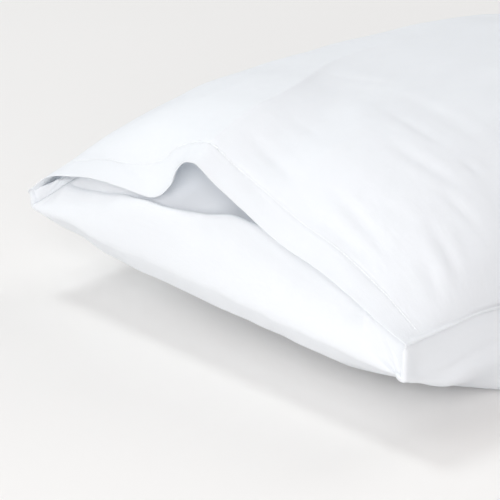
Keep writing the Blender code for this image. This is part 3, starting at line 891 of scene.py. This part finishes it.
def flap_section(side, back):
    """Half a section of the flap where it lies under the top."""
    x = side * np.linspace(0.0, half_width(back) - FLAP_SIDE, SECTION_STEPS + 1)
    at = np.full_like(x, back)
    crest = along_table(FLAP_FORM, x, 4)
    dip = HOLLOW_DEPTH * np.exp(-(((x - HOLLOW_ACROSS) / HOLLOW_WIDTH) ** 2))
    dip *= ease(crest, crest + HOLLOW_OPENS, back) * (1 - ease(*HOLLOW_CLOSES, back))
    trough = np.exp(-(((back - crest - TROUGH_BACK) / TROUGH_WIDE) ** 2))
    dip += along_table(FLAP_FORM, x, 3) * trough
    over = calm_top(x, at)
    slope = (calm_top(x + SLOPE_STEP, at) - over) / SLOPE_STEP
    under = along_table(FLAP_FORM, x, 2)
    under += (FLAP_UNDER - under) * ease(*FLAP_SETTLES, back)
    return np.stack([x, over - under * np.sqrt(1 + slope * slope) - dip], axis=1)


def both_sides(section, back):
    """A whole section at a distance back, shared out over the columns."""
    return np.concatenate([share_out(section(-1, back), left), share_out(section(1, back), right)])


# The grid's sizes, and the places, widths and strengths with which it is finer.
COLUMNS_BOTTOM = 200
ROWS_BOTTOM = 120
ROWS_FLAP = 110
BOTTOM_FINE_ACROSS = ((0.0, 0.06, 4.0), (1.0, 0.075, 5.5))
BOTTOM_FINE_BACK = ((0.0, 0.025, 14.0), (0.08, 0.10, 2.5), (1.0, 0.05, 4.0))
FLAP_FINE_BACK = ((0.0, 0.06, 12.0), (0.1, 0.12, 4.0))

columns = shares(COLUMNS_BOTTOM, BOTTOM_FINE_ACROSS)
left = np.abs(2 * columns[columns < 0.5] - 1)
right = 2 * columns[columns >= 0.5] - 1
back_rows = LENGTH * shares(ROWS_BOTTOM, BOTTOM_FINE_BACK)
flap_rows = FLAP_LENGTH * shares(ROWS_FLAP, FLAP_FINE_BACK)
fold = both_sides(belly_section, 0.0)
beside = np.sign(fold[:, 0])
corner_height = SEAM_HEIGHT - along_table(FOLD_LINE, beside * MOUTH_HALF)
upright = ease(*UPRIGHT_TOP, fold[:, 1] - corner_height) * ease(*UPRIGHT_FROM, np.abs(fold[:, 0]))
sewn = ease(0.0, SEWN_DOWN, SEAM_HEIGHT - fold[:, 1])


def fold_round(back):
    """1 at the mouth's fold and 0 behind it, in a quarter of a circle."""
    return 1 - (1 - max(1 - back / (2 * EDGE_FOLD), 0.0) ** 2) ** 0.5


def pressed_edge(across, past):
    """How far the fold's pressed edge stands out, at a distance below it or, if negative, above."""
    uneven = 0.75 + 0.25 * np.sin(across * 61.0 + 2 * np.sin(across * 23.0))
    return PRESSED_EDGE * uneven * np.exp(-(((past + PRESSED_PLACE) / PRESSED_WIDE) ** 2))


strips, skins = [], []
for back in back_rows[::-1]:
    line = both_sides(belly_section, back)
    line[:, 0] -= beside * upright * sewn * EDGE_FOLD * fold_round(back)
    y = back - end_shift(line[:, 0], back) - LENGTH / 2
    strips.append(np.stack([line[:, 0], y, line[:, 1]], axis=1))
    to_side = np.hypot(np.abs(line[:, 0]) - half_width(back), line[:, 1] - seam_height(back))
    to_seam = np.minimum(to_side, LENGTH - back)
    near = np.maximum(1 - ease(0.0, NEAR_SEAM, to_seam), upright * (1 - ease(0.0, UPRIGHT_BACK, back)))
    loose = ease(*BELLY_LOOSE, line[:, 1]) * (1 - near)
    skin = SKIN + (SEAM_SKIN - SKIN) * near + pressed_edge(line[:, 0], back) * (1 - upright)
    skin += slack(BOTTOM_SLACK, line[:, 0] + line[:, 1], np.full_like(sewn, back)) * loose
    below = along_table(WALL_CREASE, np.array([back])) - line[:, 1]
    bulge = ease(*BULGE_TOP, below) * (1 - ease(*BULGE_FOOT, below))
    bulge -= LIP_DEEP * np.exp(-((below + LIP_OVER) / LIP_OVER) ** 2)
    lengthwise = ease(*WALL_BULGES, back) * (1 - ease(*WALL_SMOOTHS, back))
    skin += WALL_BULGE * bulge * ease(*BULGE_FROM, line[:, 0]) * lengthwise
    skins.append(skin)
for back in flap_rows[1:]:
    under = both_sides(flap_section, back)
    turn = along_table(FLAP_FORM, fold[:, 0], 1)
    risen = (1 - np.maximum(1 - back / turn, 0.0) ** FLAP_ROUND[0]) ** FLAP_ROUND[1]
    line = fold + (under - fold) * risen[:, None]
    held = upright * (1 - ease(*UPRIGHT_HELD, back))
    wall_x = fold[:, 0] - beside * sewn * EDGE_FOLD * (2 - fold_round(back))
    line[:, 0] += (wall_x - line[:, 0]) * held
    line[:, 1] += (fold[:, 1] - line[:, 1]) * held
    recess = CORNER_RECESS * ease(*RECESS_ACROSS, line[:, 0]) * ease(*RECESS_UP, line[:, 1])
    pocket_line = POCKET_ACROSS + POCKET_LEAN * np.maximum(line[:, 1] - POCKET_LOW, 0.0)
    pocket = ease(0.0, POCKET_SOFT, pocket_line - line[:, 0]) * ease(*POCKET_UP, line[:, 1])
    grown = (1 - np.exp(-back / POCKET_GROWS)) * (1 - ease(*FLAP_SETTLES, back))
    y = back + (recess + CORNER_POCKET * pocket) * grown * (1 - upright)
    strips.append(np.stack([line[:, 0], y - LENGTH / 2, line[:, 1]], axis=1))
    near = upright * (1 - ease(UPRIGHT_BACK, 2 * UPRIGHT_BACK, back))
    skin = SKIN + (SEAM_SKIN - SKIN) * near + pressed_edge(line[:, 0], -back) * (1 - upright)
    loose = ease(*FLAP_LOOSE, back) * (1 - ease(*FLAP_TIGHT, back)) * (1 - upright)
    skin += slack(FLAP_SLACK, line[:, 0], np.full_like(sewn, back)) * loose
    skins.append(skin)
bottom = np.array(strips)
bottom = bottom + outward(bottom) * np.array(skins)[:, :, None]
from_fold = np.concatenate([np.zeros(ROWS_BOTTOM), flap_rows])
eased = ease(*EASED_BACK, from_fold)[:, None] * ease(*EASED_ACROSS, bottom[:, :, 0]) * (1 - upright)
eased[-1] = 0.0
for _ in range(EASINGS):
    around = (bottom[:-2, 1:-1] + bottom[2:, 1:-1] + bottom[1:-1, :-2] + bottom[1:-1, 2:]) / 4
    bottom[1:-1, 1:-1] += (around - bottom[1:-1, 1:-1]) * eased[1:-1, 1:-1, None]

BOTTOM_FLAT = (0.50, 1.00)
bottom_piece = cloth_piece("bottom_cloth", bottom, CLOTH, cotton("bottom_cotton", BOTTOM_FLAT))
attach(bottom_piece, "root")
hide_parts("bottom_panel")
